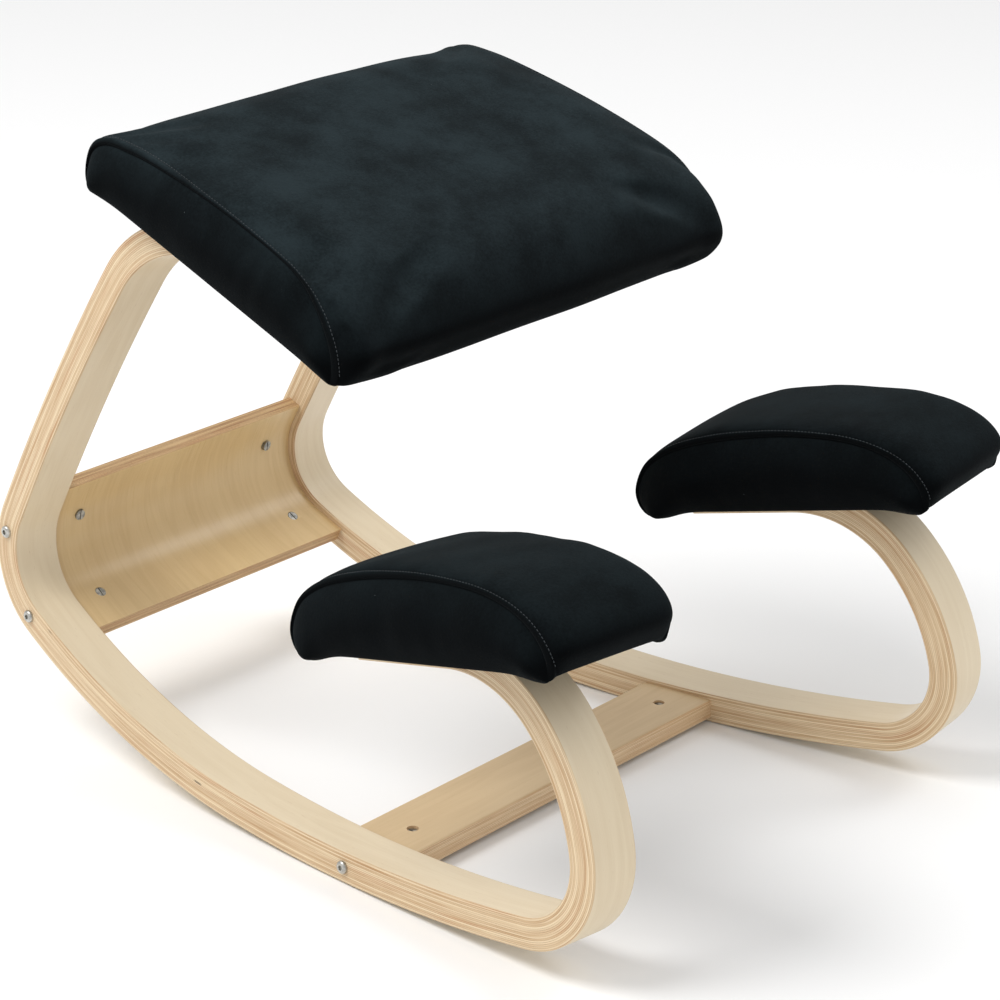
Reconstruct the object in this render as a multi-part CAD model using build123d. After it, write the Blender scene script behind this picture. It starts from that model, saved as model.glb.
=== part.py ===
"""Rocking kneeling chair: two bent plywood runners, a padded seat and two padded knee rests.

Row frame: millimetres, +Z up, knees toward -Y, the sitter's left toward +X, origin on the floor under
the middle of the chair.
The right half is drawn in the plane of the right runner and mirrored to make the left half.
"""
import os
from math import atan2, cos, degrees, radians, sin

from build123d import *

# Bent runners
STRIP_WIDTH = 44.5          # across the plies
STRIP_THICK = 26.0          # through the plies
HALF_SPREAD = 234.5         # middle of the chair to a runner's outer face, at the floor
SPREAD_POINT_Y = -47.7      # where along the chair HALF_SPREAD is measured
SPLAY = 5.6                 # each runner opens toward the knees, measured in the plane of the seat
EDGE_ROUND = 1.5

# The convex face of a runner, walked from the front of the seat rail round to the end of the knee rail
SEAT_SLOPE = 20.0           # the seat falls toward the knees
KNEE_SLOPE = 13.0           # the knee rests rise toward the knees
RAIL_END_AHEAD = 15.3       # front end of the seat rail: ahead of the spread point ...
RAIL_END_HEIGHT = 449.4     # ... and above the floor
SEAT_RAIL_LENGTH = 122.0
KNEE_RAIL_LENGTH = 100.0
BENDS = {                   # name: (radius of the convex face, degrees turned)
    "top_bend": (133.0, 75.0),
    "back_leg": (2280.0, 7.1),
    "rear_bend": (82.0, 87.25),
    "rocker_rear": (642.0, 25.5),
    "rocker_front": (1373.0, 14.4),
    "front_bend": (81.0, 91.9),
    "front_leg": (190.0, 32.65),
}
KNEE_BEND_RADIUS = 121.0    # turns until the knee rail has its slope

# Rear panel and front cross bar
PANEL_THICK = 13.0
PANEL_SETBACK = 5.0         # concave face of the panel below the runner's concave face
PANEL_REACH_UP = 23.0       # along the back leg, above the rear bend
PANEL_REACH_DOWN = 36.0     # along the rocker, ahead of the rear bend
BAR_THICK = 18.0
BAR_DEPTH = 68.0            # front to back
BAR_MIDDLE_AHEAD = 39.0     # ahead of the spread point
BAR_TOP_BELOW_RUNNER = 3.5

# Connector bolts, barrel nuts and dowels
BOLT_SHANK = 6.0
BOLT_HEAD = 11.0
BOLT_HEAD_HEIGHT = 3.2
HEX_KEY = 4.0
HEX_KEY_DEPTH = 2.0
BOLT_BORE = 6.6
NUT_DIAMETER = 9.6
NUT_PAST_BOLT = 5.0         # blind end of the nut beyond the bolt's axis
NUT_BORE = 10.0
NUT_INBOARD = 31.0          # runner's inner face to the barrel nut
NUT_RECESS = 1.2            # end of the nut below the surface it is let into
BOLT_PAST_NUT = 3.0
SLOT_WIDTH = 1.2
PANEL_BOLT_ARCS = (16.5, 84.5)   # degrees into the rear bend
DOWEL_DIAMETER = 8.0
DOWEL_LENGTH = 36.0
DOWEL_FROM_BOLT = 22.0

# Padding
COVER_THICK = 1.4
SOFT_GAP = 0.3              # soft pieces stay this far from the pieces around them
LINING_THICK = 0.8
BOARD_THICK = 12.0
BOARD_MARGIN = 4.0          # outside of the cover to the edge of a board
BOARD_CORNER = 26.0         # the cushions are thin over the corners of their boards
HEM_WIDTH = 16.0            # the cover turned in under a board

# Seat, measured in its own sloping plane from the front end of the seat rails
SEAT_AHEAD = 29.0
SEAT_BOARD_AHEAD = 8.0      # the foam rolls over both ends of the board
SEAT_BEHIND = 278.0
SEAT_BOARD_BEHIND = 268.0
SEAT_HALF_FRONT = 235.0
SEAT_HALF_REAR = 217.0
SEAT_SKIRT = 25.0           # how far the sides hang below the top of the rails
SEAT_TOP_FRONT = 37.0       # top of the seat above the top of the rails
SEAT_TOP_REAR = 31.0
SEAT_TOP_RISE = 7.0         # the top arches by this much
SEAT_FRONT_ROUND = 55.0
SEAT_REAR_ROUND = 38.0
RIM_THICK = 5.0
SEAT_SCREWS = (25.0, 95.0)  # along a rail from its end

# Knee rests, measured along the knee rail from its end
PAD_BEHIND = 20.0
PAD_AHEAD = 250.0
PAD_WIDTH = 132.0
PAD_TOP_FRONT = 53.0
PAD_TOP_REAR = 50.0
PAD_TOP_RISE = 8.0
PAD_FRONT_ROUND = 50.0
PAD_REAR_ROUND = 42.0
PAD_SCREWS = (24.0, 74.0)

# T-nuts and the screws that hold the padding down
TEE_FLANGE = 19.0
TEE_FLANGE_THICK = 1.5
TEE_BARREL = 8.0
TEE_LENGTH = 9.0
SCREW_SHANK = 5.8
SCREW_BORE = 6.6
SPARE = 400.0               # longer than any cut needs


# ------------------------------------------------------------------ frames

def runner_plane():
    """Outer face of the right runner: x forward, y up, z outward."""
    slope = radians(SEAT_SLOPE)
    splay = radians(SPLAY)
    normal = Vector(-cos(splay), sin(splay) * cos(slope), sin(splay) * sin(slope))
    forward = Vector(-normal.Y, normal.X, 0).normalized()
    lift = STRIP_WIDTH * normal.Z
    return Plane(origin=(-HALF_SPREAD, SPREAD_POINT_Y, lift), x_dir=forward, z_dir=normal)


def rail_fall():
    """Slope of the seat rail in its runner's plane, so that its top lies in the plane of the seat."""
    slope = radians(SEAT_SLOPE)
    along = RUNNER.z_dir.cross(Vector(0, -sin(slope), cos(slope)))
    return degrees(atan2(along.dot(RUNNER.y_dir), along.dot(RUNNER.x_dir) * -1))


def walk(depth=0.0):
    """Edges of the runner's curve, depth millimetres inside the convex face, in runner coordinates."""
    heading = 180.0 - rail_fall()
    knee_turn = 540.0 + KNEE_SLOPE - heading - sum(turn for radius, turn in BENDS.values())
    pieces = [("seat_rail", SEAT_RAIL_LENGTH, None)]
    pieces += [(name, radius, turn) for name, (radius, turn) in BENDS.items()]
    pieces += [("knee_bend", KNEE_BEND_RADIUS, knee_turn)]
    pieces += [("knee_rail", KNEE_RAIL_LENGTH, None)]
    point = Vector(RAIL_END_AHEAD, RAIL_END_HEIGHT)
    edges = {}
    for name, size, turn in pieces:
        along = Vector(cos(radians(heading)), sin(radians(heading)))
        left = Vector(-along.Y, along.X)
        start = point + left * depth
        if turn is None:
            edges[name] = Line(start, start + along * size)
            point = point + along * size
        else:
            edges[name] = JernArc(start, along, size - depth, turn)
            heading += turn
            turned = Vector(-sin(radians(heading)), cos(radians(heading)))
            point = point + left * size - turned * size
    return edges


def band(outer, inner, names):
    """Face between two walks, along the named stretches of them."""
    first = names[0]
    last = names[-1]
    edges = [outer[name] for name in names] + [inner[name] for name in names]
    edges.append(Line(outer[first] @ 0, inner[first] @ 0))
    edges.append(Line(outer[last] @ 1, inner[last] @ 1))
    return make_face(edges)


RUNNER = runner_plane()
CONVEX = walk(0.0)
CONCAVE = walk(STRIP_THICK)
SEAT_RAIL_START = CONVEX["seat_rail"] @ 0
KNEE_RAIL_END = CONVEX["knee_rail"] @ 1


def inward(distance):
    """The runner plane moved inward from the outer face."""
    return RUNNER.offset(-distance)


def seat_plane():
    """Side view of the seat at the chair's middle: x down the slope, y square to it, z to the right."""
    slope = radians(SEAT_SLOPE)
    corner = inward(STRIP_WIDTH / 2).from_local_coords(SEAT_RAIL_START)
    return Plane(origin=(0, corner.Y, corner.Z), x_dir=(0, -cos(slope), -sin(slope)), z_dir=(-1, 0, 0))


def seat_plan(height):
    """Plan of the seat at a height above the rails: x down the slope, y to the left."""
    side = seat_plane()
    return Plane(origin=side.from_local_coords((0, height, 0)), x_dir=side.x_dir, z_dir=side.y_dir)


def knee_plane():
    """Side view of the right knee rest through the middle of its rail: x up the slope, y square to it."""
    middle = inward(STRIP_WIDTH / 2)
    ahead = middle.x_dir * cos(radians(KNEE_SLOPE)) + middle.y_dir * sin(radians(KNEE_SLOPE))
    return Plane(origin=middle.from_local_coords(KNEE_RAIL_END), x_dir=ahead, z_dir=middle.z_dir)


SEAT = seat_plane()
KNEE = knee_plane()


def mirrored(solids):
    return [mirror(solid, about=Plane.YZ) for solid in solids]


def mirrored_frames(frames):
    """The same frames on the other side of the chair."""
    flipped = []
    for frame in frames:
        origin = (-frame.origin.X, frame.origin.Y, frame.origin.Z)
        x_dir = (frame.x_dir.X, -frame.x_dir.Y, -frame.x_dir.Z)
        z_dir = (-frame.z_dir.X, frame.z_dir.Y, frame.z_dir.Z)
        flipped.append(Plane(origin=origin, x_dir=x_dir, z_dir=z_dir))
    return flipped


# ------------------------------------------------------------------ hardware

def connector_bolt(length):
    """Button head with a hex socket; the shank runs from z = 0 down to -length."""
    shank = Pos(0, 0, -length / 2) * Cylinder(BOLT_SHANK / 2, length)
    head = extrude(Circle(BOLT_HEAD / 2), amount=BOLT_HEAD_HEIGHT)
    head = fillet(head.edges().group_by(Axis.Z)[-1], BOLT_HEAD_HEIGHT * 0.75)
    socket = Pos(0, 0, BOLT_HEAD_HEIGHT - HEX_KEY_DEPTH) * extrude(
        RegularPolygon(HEX_KEY / 2, 6, major_radius=False), amount=HEX_KEY_DEPTH)
    return shank + head - socket


def barrel_nut(top):
    """Cross dowel along z up to top, its threaded cross hole along x, a slot in its visible end."""
    length = top + NUT_PAST_BOLT
    body = Pos(0, 0, top - length / 2) * Cylinder(NUT_DIAMETER / 2, length)
    thread = Rot(0, 90, 0) * Cylinder(BOLT_SHANK / 2 + 0.1, 2 * NUT_DIAMETER)
    slot = Pos(0, 0, top) * Box(SLOT_WIDTH, 2 * NUT_DIAMETER, 2 * SLOT_WIDTH)
    return body - thread - slot


def tee_nut():
    """Flange below z = 0, barrel below it, open right through."""
    flange = Pos(0, 0, -TEE_FLANGE_THICK / 2) * Cylinder(TEE_FLANGE / 2, TEE_FLANGE_THICK)
    barrel = Pos(0, 0, -TEE_LENGTH / 2) * Cylinder(TEE_BARREL / 2, TEE_LENGTH)
    return flange + barrel - Cylinder(SCREW_SHANK / 2 + 0.1, 3 * TEE_LENGTH)


def tee_nut_pocket():
    """What is bored out of a board for one T-nut."""
    flange = Pos(0, 0, -TEE_FLANGE_THICK / 2) * Cylinder(TEE_FLANGE / 2 + 0.1, TEE_FLANGE_THICK)
    return flange + Cylinder(TEE_BARREL / 2 + 0.1, 3 * BOARD_THICK)


def bolt_points():
    """Runner coordinates of the three connector bolts: two into the panel, one into the bar."""
    panel_middle = STRIP_THICK - PANEL_SETBACK - PANEL_THICK / 2
    curve = walk(panel_middle)["rear_bend"]
    turn = BENDS["rear_bend"][1]
    centring = bolt_lean((NUT_INBOARD + BOLT_PAST_NUT) / 2)
    points = [curve @ (arc / turn) - centring for arc in PANEL_BOLT_ARCS]
    points.append(Vector(BAR_MIDDLE_AHEAD, bar_top() - BAR_THICK / 2))
    return points


def bolt_lean(inboard):
    """How far a bolt, square to its splayed runner, leans forward and down over a distance inboard."""
    return Vector(RUNNER.z_dir.Y, -RUNNER.z_dir.Z) * inboard


def bar_top():
    """Height of the bar's top face in runner coordinates."""
    rocker = CONCAVE["rocker_front"]
    lowest = min(rocker.position_at(step / 20).Y for step in range(21))
    return lowest - BAR_TOP_BELOW_RUNNER


def right_bolts(points):
    """Connector bolts driven in through the right runner's outer face."""
    length = STRIP_WIDTH + NUT_INBOARD + BOLT_PAST_NUT
    bolt = connector_bolt(length)
    return [RUNNER * Pos(point.X, point.Y, 0) * bolt for point in points]


def bolt_bores(points):
    """Clearance holes for the connector bolts, through the runner and on into the panel or bar."""
    length = STRIP_WIDTH + NUT_INBOARD + 2 * BOLT_PAST_NUT
    bore = Pos(0, 0, -length / 2) * Cylinder(BOLT_BORE / 2, length)
    return [RUNNER * Pos(point.X, point.Y, 0) * bore for point in points]


def nut_frame(point, face_direction):
    """Frame of a barrel nut: z toward the face it was let in from, x along the bolt."""
    centre = inward(STRIP_WIDTH + NUT_INBOARD).from_local_coords(Vector(point.X, point.Y, 0))
    return Plane(origin=centre, x_dir=RUNNER.z_dir, z_dir=face_direction)


def panel_nut_frames():
    """The two nuts in the right end of the rear panel, facing the middle of the bend."""
    centre = CONVEX["rear_bend"].arc_center
    frames = []
    for point in bolt_points()[:2]:
        toward = Vector(centre.X - point.X, centre.Y - point.Y, 0).normalized()
        frames.append(nut_frame(point, RUNNER.x_dir * toward.X + RUNNER.y_dir * toward.Y))
    return frames


def bar_nut_frame():
    return nut_frame(bolt_points()[2], RUNNER.y_dir)


def nut_pocket(frame, wood_thick):
    """Hole for a barrel nut, from the face it is let in from to a blind bottom."""
    low = -NUT_PAST_BOLT - 0.2
    high = wood_thick
    return frame * Pos(0, 0, (low + high) / 2) * Cylinder(NUT_BORE / 2, high - low)


def dowel_frames():
    """Two locating dowels beside the bolt at the right end of the bar."""
    point = bolt_points()[2]
    return [RUNNER * Pos(point.X + side * DOWEL_FROM_BOLT, point.Y, -STRIP_WIDTH) for side in (-1, 1)]


def right_dowels(diameter, length):
    return [frame * Cylinder(diameter / 2, length) for frame in dowel_frames()]


# ------------------------------------------------------------------ bent runners

def rail_frames(rail, distances):
    """Frames on the convex face of a rail: z out of the face, at distances from the rail's free end."""
    frames = []
    for distance in distances:
        share = distance / rail.length
        place = rail @ share
        outward = Vector(rail % share).rotate(Axis.Z, -90)
        origin = inward(STRIP_WIDTH / 2).from_local_coords(place)
        z_dir = RUNNER.x_dir * outward.X + RUNNER.y_dir * outward.Y
        frames.append(Plane(origin=origin, x_dir=RUNNER.z_dir, z_dir=z_dir))
    return frames


def seat_screw_frames():
    return rail_frames(CONVEX["seat_rail"], SEAT_SCREWS)


def knee_screw_frames():
    far_end = [KNEE_RAIL_LENGTH - distance for distance in PAD_SCREWS]
    return rail_frames(CONVEX["knee_rail"], far_end)


def right_runner():
    """One continuous bent strip, bored for its bolts, dowels and padding screws."""
    strip = extrude(RUNNER * band(CONVEX, CONCAVE, list(CONVEX)), amount=-STRIP_WIDTH)
    strip = chamfer(strip.faces().sort_by(Axis.X)[0].edges(), EDGE_ROUND)
    for bore in bolt_bores(bolt_points()):
        strip -= bore
    for dowel in right_dowels(DOWEL_DIAMETER, DOWEL_LENGTH + 1):
        strip -= dowel
    for frame in seat_screw_frames() + knee_screw_frames():
        strip -= frame * Cylinder(SCREW_BORE / 2, 3 * STRIP_THICK)
    return strip


# ------------------------------------------------------------------ panel and bar

def trim_to_runners(solid):
    """Cut both ends of a cross piece to butt against the runners' inner faces."""
    right_face = Plane(origin=inward(STRIP_WIDTH).origin, x_dir=RUNNER.x_dir, z_dir=RUNNER.z_dir * -1)
    for face in [right_face] + mirrored_frames([right_face]):
        solid = split(solid, bisect_by=face, keep=Keep.TOP)
    return solid


def cross_section_plane():
    """Side view at the middle of the chair, level with the runners' inner faces."""
    corner = inward(STRIP_WIDTH).origin
    return Plane(origin=(0, corner.Y, corner.Z), x_dir=(0, -1, 0), z_dir=(-1, 0, 0))


def panel_walk(depth):
    """The stretch of the runner's curve that the rear panel follows."""
    full = walk(depth)
    back_leg = full["back_leg"]
    rocker = full["rocker_rear"]
    upper = 1 - PANEL_REACH_UP / back_leg.length
    lower = PANEL_REACH_DOWN / rocker.length
    return {
        "back_leg": back_leg.trim(upper, 1),
        "rear_bend": full["rear_bend"],
        "rocker_rear": rocker.trim(0, lower),
    }


def rear_panel():
    """Bent plywood panel that follows the rear bend between the runners."""
    concave_depth = STRIP_THICK - PANEL_SETBACK
    outer = panel_walk(concave_depth - PANEL_THICK)
    inner = panel_walk(concave_depth)
    section = band(outer, inner, list(outer))
    panel = extrude(cross_section_plane() * section, amount=SPARE, both=True)
    panel = trim_to_runners(panel)
    bores = bolt_bores(bolt_points()[:2])
    bores += [nut_pocket(frame, PANEL_THICK) for frame in panel_nut_frames()]
    for bore in bores + mirrored(bores):
        panel -= bore
    return panel


def front_cross_bar():
    """Flat plywood bar across the rockers."""
    section = Pos(BAR_MIDDLE_AHEAD, bar_top() - BAR_THICK / 2) * RectangleRounded(BAR_DEPTH, BAR_THICK, 2)
    bar = extrude(cross_section_plane() * section, amount=SPARE, both=True)
    bar = trim_to_runners(bar)
    bores = bolt_bores(bolt_points()[2:])
    bores.append(nut_pocket(bar_nut_frame(), BAR_THICK))
    bores += right_dowels(DOWEL_DIAMETER, DOWEL_LENGTH + 1)
    for bore in bores + mirrored(bores):
        bar -= bore
    return bar


def seated_nuts(frames, wood_thick):
    """Barrel nuts on their bolts, their slotted ends just below the wood."""
    nut = barrel_nut(wood_thick / 2 - NUT_RECESS)
    return [frame * nut for frame in frames]


# ------------------------------------------------------------------ padding

def cushion_side(rear, front, low, rear_top, front_top, rear_round, front_round, rise):
    """Side view of a cushion: flat underneath, round ends, a top that arches by rise."""
    top_start = Vector(front - front_round, front_top)
    top_end = Vector(rear + rear_round, rear_top)
    crest = (top_start + top_end) * 0.5 + Vector(0, rise)
    return make_face([
        Line((rear, low), (front, low)),
        Line((front, low), (front, front_top - front_round)),
        RadiusArc((front, front_top - front_round), top_start, -front_round),
        ThreePointArc(top_start, crest, top_end),
        RadiusArc(top_end, (rear, rear_top - rear_round), -rear_round),
        Line((rear, rear_top - rear_round), (rear, low)),
    ])


def seat_half_width(along):
    """Half the width of the seat at a distance ahead of the rail ends."""
    share = (along + SEAT_BEHIND) / (SEAT_AHEAD + SEAT_BEHIND)
    return SEAT_HALF_REAR + share * (SEAT_HALF_FRONT - SEAT_HALF_REAR)


def seat_slab(inset, rear, front, low, high):
    """The seat's outline from above, its sides drawn in by inset, between two heights."""
    front_half = seat_half_width(front) - inset
    rear_half = seat_half_width(rear) - inset
    outline = Polyline((front, front_half), (rear, rear_half), (rear, -rear_half),
                       (front, -front_half), close=True)
    return extrude(seat_plan(low) * make_face(outline), amount=high - low)


def seat_body(inset, low):
    """The seat cushion drawn in by inset, its underside at low."""
    side = cushion_side(inset - SEAT_BEHIND, SEAT_AHEAD - inset, low,
                        SEAT_TOP_REAR - inset, SEAT_TOP_FRONT - inset,
                        SEAT_REAR_ROUND - inset, SEAT_FRONT_ROUND - inset, SEAT_TOP_RISE)
    bar = extrude(SEAT * side, amount=SPARE, both=True)
    return bar & seat_slab(inset, -SPARE, SPARE, low - 1, SPARE)


def pad_slab(inset, low, high):
    """The right knee rest's outline, drawn in by inset, between two heights above the rail."""
    length = PAD_AHEAD + PAD_BEHIND - 2 * inset
    middle = (PAD_AHEAD - PAD_BEHIND) / 2
    outline = Pos(middle, (low + high) / 2) * Rectangle(length, high - low)
    return extrude(KNEE * outline, amount=PAD_WIDTH / 2 - inset, both=True)


def pad_body(inset, low):
    """The right knee rest drawn in by inset, its underside at low."""
    side = cushion_side(inset - PAD_BEHIND, PAD_AHEAD - inset, low,
                        PAD_TOP_REAR - inset, PAD_TOP_FRONT - inset,
                        PAD_REAR_ROUND - inset, PAD_FRONT_ROUND - inset, PAD_TOP_RISE)
    return extrude(KNEE * side, amount=PAD_WIDTH / 2 - inset, both=True)


BOARD_LOW = LINING_THICK
BOARD_HIGH = BOARD_LOW + BOARD_THICK
FOAM_INSET = COVER_THICK + SOFT_GAP
FOAM_LOW = BOARD_HIGH + SOFT_GAP


def seat_board():
    board = seat_slab(BOARD_MARGIN, -SEAT_BOARD_BEHIND, SEAT_BOARD_AHEAD, BOARD_LOW, BOARD_HIGH)
    board = rounded_board(board, SEAT)
    return bored_board(board, seat_screw_frames() + mirrored_frames(seat_screw_frames()))


def rounded_board(board, plane):
    """A board with its four corners rounded; the plane's y direction is square to the board."""
    return fillet(board.edges().filter_by(Axis(plane.origin, plane.y_dir)), BOARD_CORNER)


def bored_board(board, frames):
    for frame in frames:
        board -= frame * Pos(0, 0, BOARD_HIGH) * tee_nut_pocket()
    return board


def seat_rim_strips():
    """Four plywood strips under the board that the cover is pulled down over."""
    low = COVER_THICK + SOFT_GAP - SEAT_SKIRT
    front = SEAT_BOARD_AHEAD - RIM_THICK
    rear = RIM_THICK - SEAT_BOARD_BEHIND
    ring = seat_slab(BOARD_MARGIN, -SEAT_BOARD_BEHIND, SEAT_BOARD_AHEAD, low, BOARD_LOW)
    ring -= seat_slab(BOARD_MARGIN + RIM_THICK, rear, front, low - 1, BOARD_LOW + 1)
    behind_front = slope_cut(front)
    behind_rear = slope_cut(rear)
    front_strip = split(ring, bisect_by=behind_front, keep=Keep.TOP)
    rest = split(ring, bisect_by=behind_front, keep=Keep.BOTTOM)
    rear_strip = split(rest, bisect_by=behind_rear, keep=Keep.BOTTOM)
    sides = split(rest, bisect_by=behind_rear, keep=Keep.TOP)
    return list(front_strip.solids()) + list(rear_strip.solids()) + list(sides.solids())


def slope_cut(along):
    """Plane square to the seat's slope, facing forward, at a distance ahead of the rail ends."""
    return Plane(origin=SEAT.from_local_coords((along, 0, 0)), x_dir=(1, 0, 0), z_dir=SEAT.x_dir)


def seat_underlining():
    """Thin lining between the rails and the board."""
    margin = RIM_THICK + SOFT_GAP
    lining = seat_slab(BOARD_MARGIN + margin, margin - SEAT_BOARD_BEHIND, SEAT_BOARD_AHEAD - margin,
                       0, LINING_THICK)
    for frame in seat_screw_frames() + mirrored_frames(seat_screw_frames()):
        lining -= frame * Cylinder(SCREW_BORE / 2, 3 * LINING_THICK)
    return lining


def seat_foam():
    """Foam on the board, rolled down over the board's front and rear edges."""
    body = seat_body(FOAM_INSET, COVER_THICK + SOFT_GAP - SEAT_SKIRT)
    wood = seat_slab(-SPARE / 4, -SEAT_BOARD_BEHIND - SOFT_GAP, SEAT_BOARD_AHEAD + SOFT_GAP,
                     -SPARE, FOAM_LOW)
    return body - wood


def seat_cover():
    """Fabric over the foam and the rim strips, turned in under them."""
    shell = seat_body(0, -SEAT_SKIRT) - seat_body(COVER_THICK, COVER_THICK - SEAT_SKIRT)
    opening = seat_slab(BOARD_MARGIN + RIM_THICK, RIM_THICK - SEAT_BOARD_BEHIND,
                        SEAT_BOARD_AHEAD - RIM_THICK, -SEAT_SKIRT - 1, -SEAT_SKIRT / 2)
    return shell - opening


def knee_board():
    board = rounded_board(pad_slab(BOARD_MARGIN, BOARD_LOW, BOARD_HIGH), KNEE)
    return bored_board(board, knee_screw_frames())


def knee_underlining():
    """Thin lining between the rail and the board, inside the cover's hem."""
    lining = pad_slab(HEM_WIDTH + SOFT_GAP, 0, LINING_THICK)
    for frame in knee_screw_frames():
        lining -= frame * Cylinder(SCREW_BORE / 2, 3 * LINING_THICK)
    return lining


def knee_foam():
    body = pad_body(FOAM_INSET, BOARD_LOW)
    return body - pad_slab(-SPARE / 4, -SPARE, FOAM_LOW)


def knee_cover():
    """Fabric over the foam and the board's edges, turned in under the board."""
    shell = pad_body(0, BOARD_LOW - COVER_THICK) - pad_body(COVER_THICK, BOARD_LOW)
    opening = pad_slab(HEM_WIDTH, -BOARD_THICK, BOARD_THICK)
    return shell - opening


def tee_nuts(frames):
    return [frame * Pos(0, 0, BOARD_HIGH) * tee_nut() for frame in frames]


def padding_screws(frames):
    """Screws up through a rail, their heads under its concave face."""
    length = STRIP_THICK + BOARD_HIGH - TEE_FLANGE_THICK
    screw = connector_bolt(length)
    return [frame * Pos(0, 0, -STRIP_THICK) * Rot(180, 0, 0) * screw for frame in frames]


# ------------------------------------------------------------------ nodes

def both_sides(solids):
    return solids + mirrored(solids)


def nodes():
    """Every node of the chair: its name and the solids in it."""
    bolts = right_bolts(bolt_points())
    runner = right_runner()
    chair = {
        "left_runner": mirrored([runner]),
        "right_runner": [runner],
        "rear_panel": [rear_panel()],
        "front_cross_bar": [front_cross_bar()],
        "rear_panel_bolts": both_sides(bolts[:2]),
        "cross_bar_bolts": both_sides(bolts[2:]),
        "rear_panel_barrel_nuts": both_sides(seated_nuts(panel_nut_frames(), PANEL_THICK)),
        "cross_bar_barrel_nuts": both_sides(seated_nuts([bar_nut_frame()], BAR_THICK)),
        "cross_bar_dowels": both_sides(right_dowels(DOWEL_DIAMETER, DOWEL_LENGTH)),
        "seat_board": [seat_board()],
        "seat_rim_strips": seat_rim_strips(),
        "seat_underlining": [seat_underlining()],
        "seat_t_nuts": both_sides(tee_nuts(seat_screw_frames())),
        "seat_screws": both_sides(padding_screws(seat_screw_frames())),
        "seat_foam": [seat_foam()],
        "seat_cover": [seat_cover()],
    }
    knee_rest = {
        "knee_board": [knee_board()],
        "knee_underlining": [knee_underlining()],
        "knee_t_nuts": tee_nuts(knee_screw_frames()),
        "knee_screws": padding_screws(knee_screw_frames()),
        "knee_foam": [knee_foam()],
        "knee_cover": [knee_cover()],
    }
    for name, solids in knee_rest.items():
        chair["right_" + name] = solids
        chair["left_" + name] = mirrored(solids)
    return chair


os.makedirs("parts", exist_ok=True)
for name, solids in nodes().items():
    pieces = [solid for shape in solids for solid in shape.solids()]
    group = Compound(children=pieces) if len(pieces) > 1 else pieces[0]
    export_step(group, f"parts/{name}.step")
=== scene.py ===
"""Rocking kneeling chair: its looks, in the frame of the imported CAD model.

Metres, +Z up, knees toward -Y, the sitter's left toward +X. The runners' line is the CAD model's.
Pieces of the right half are made in the right runner's frame, and mirrored to make the left half.
"""
from math import atan2, ceil, cos, degrees, exp, pi, radians, sin

import bmesh
import bpy
from mathutils import Matrix, Vector, noise
from mathutils.bvhtree import BVHTree


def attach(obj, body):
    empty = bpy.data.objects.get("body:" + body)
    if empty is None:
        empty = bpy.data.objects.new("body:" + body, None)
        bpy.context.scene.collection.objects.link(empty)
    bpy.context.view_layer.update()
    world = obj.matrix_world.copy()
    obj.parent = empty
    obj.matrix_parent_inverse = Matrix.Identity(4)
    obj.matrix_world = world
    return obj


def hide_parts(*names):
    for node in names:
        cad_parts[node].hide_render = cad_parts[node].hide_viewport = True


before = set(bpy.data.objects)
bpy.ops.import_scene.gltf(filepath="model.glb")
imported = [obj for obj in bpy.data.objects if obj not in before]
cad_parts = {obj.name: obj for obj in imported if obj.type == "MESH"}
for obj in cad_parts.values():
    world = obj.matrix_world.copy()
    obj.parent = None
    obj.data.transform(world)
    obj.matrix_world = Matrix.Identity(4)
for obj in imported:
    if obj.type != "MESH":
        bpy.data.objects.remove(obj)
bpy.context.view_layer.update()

# Runners, as in the CAD model
STRIP_WIDTH = 0.0445
STRIP_THICK = 0.026
HALF_SPREAD = 0.2345
SPREAD_POINT_Y = -0.0477
SPLAY = 5.6
SEAT_SLOPE = 20.0
KNEE_SLOPE = 13.0
RAIL_END = (0.0153, 0.4494)
SEAT_RAIL_LENGTH = 0.122
KNEE_RAIL_LENGTH = 0.100
# (radius, degrees turned) of each arc of the convex face, from the seat rail on
BENDS = {
    "top_bend": (0.133, 75.0),
    "back_leg": (2.280, 7.1),
    "rear_bend": (0.082, 87.25),
    "rocker_rear": (0.642, 25.5),
    "rocker_front": (1.373, 14.4),
    "front_bend": (0.081, 91.9),
    "front_leg": (0.190, 32.65),
}
KNEE_BEND_RADIUS = 0.121
STATION_STEP = 0.005
EDGE_ROUND = 0.0013
PLY_THICK = 0.00153           # one veneer of a runner
PANEL_PLY = 0.0013
BOARD_PLY = 0.0014

# Rear panel, as in the CAD model
PANEL_THICK = 0.013
PANEL_DEPTH = 0.008           # its convex face, inside the runner's convex face
PANEL_REACH_UP = 0.023
PANEL_REACH_DOWN = 0.036

# Seat and knee rests, from the rear; the seat's sides stand a little outside the CAD model's cover
SEAT_BEHIND = 0.278
SEAT_AHEAD = 0.029
SEAT_HALF_REAR = 0.218
SEAT_HALF_FRONT = 0.238
PAD_HALF_WIDTH = 0.066

# Camera at the photograph's viewing angle
CAMERA_PLACE = (-1.94519, -1.69356, 1.20715)
CAMERA_AZIMUTH = -49.7777
CAMERA_ELEVATION = 20.6382
LENS = 118.8

# Studio
WORLD_STRENGTH = 0.74
LAMP_TARGET = (0, 0, 0.3)
LAMPS = {                     # each one's place, width and power
    "key": ((-2.2, 1.3, 3.9), 2.2, 112),
    "glaze": ((2.3, -1.2, 2.7), 1.2, 16),
}
FLOOR_SIZE = 60
FLOOR_WHITE = 0.95


# ------------------------------------------------------------------ frames and lines

class Frame:
    """Three directions at a place: x forward, y up, z sideways."""

    def __init__(self, origin, forward, up, side):
        self.origin = Vector(origin)
        self.forward = Vector(forward)
        self.up = Vector(up)
        self.side = Vector(side)

    def at(self, along, height, across=0.0):
        return self.origin + self.forward * along + self.up * height + self.side * across


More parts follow.
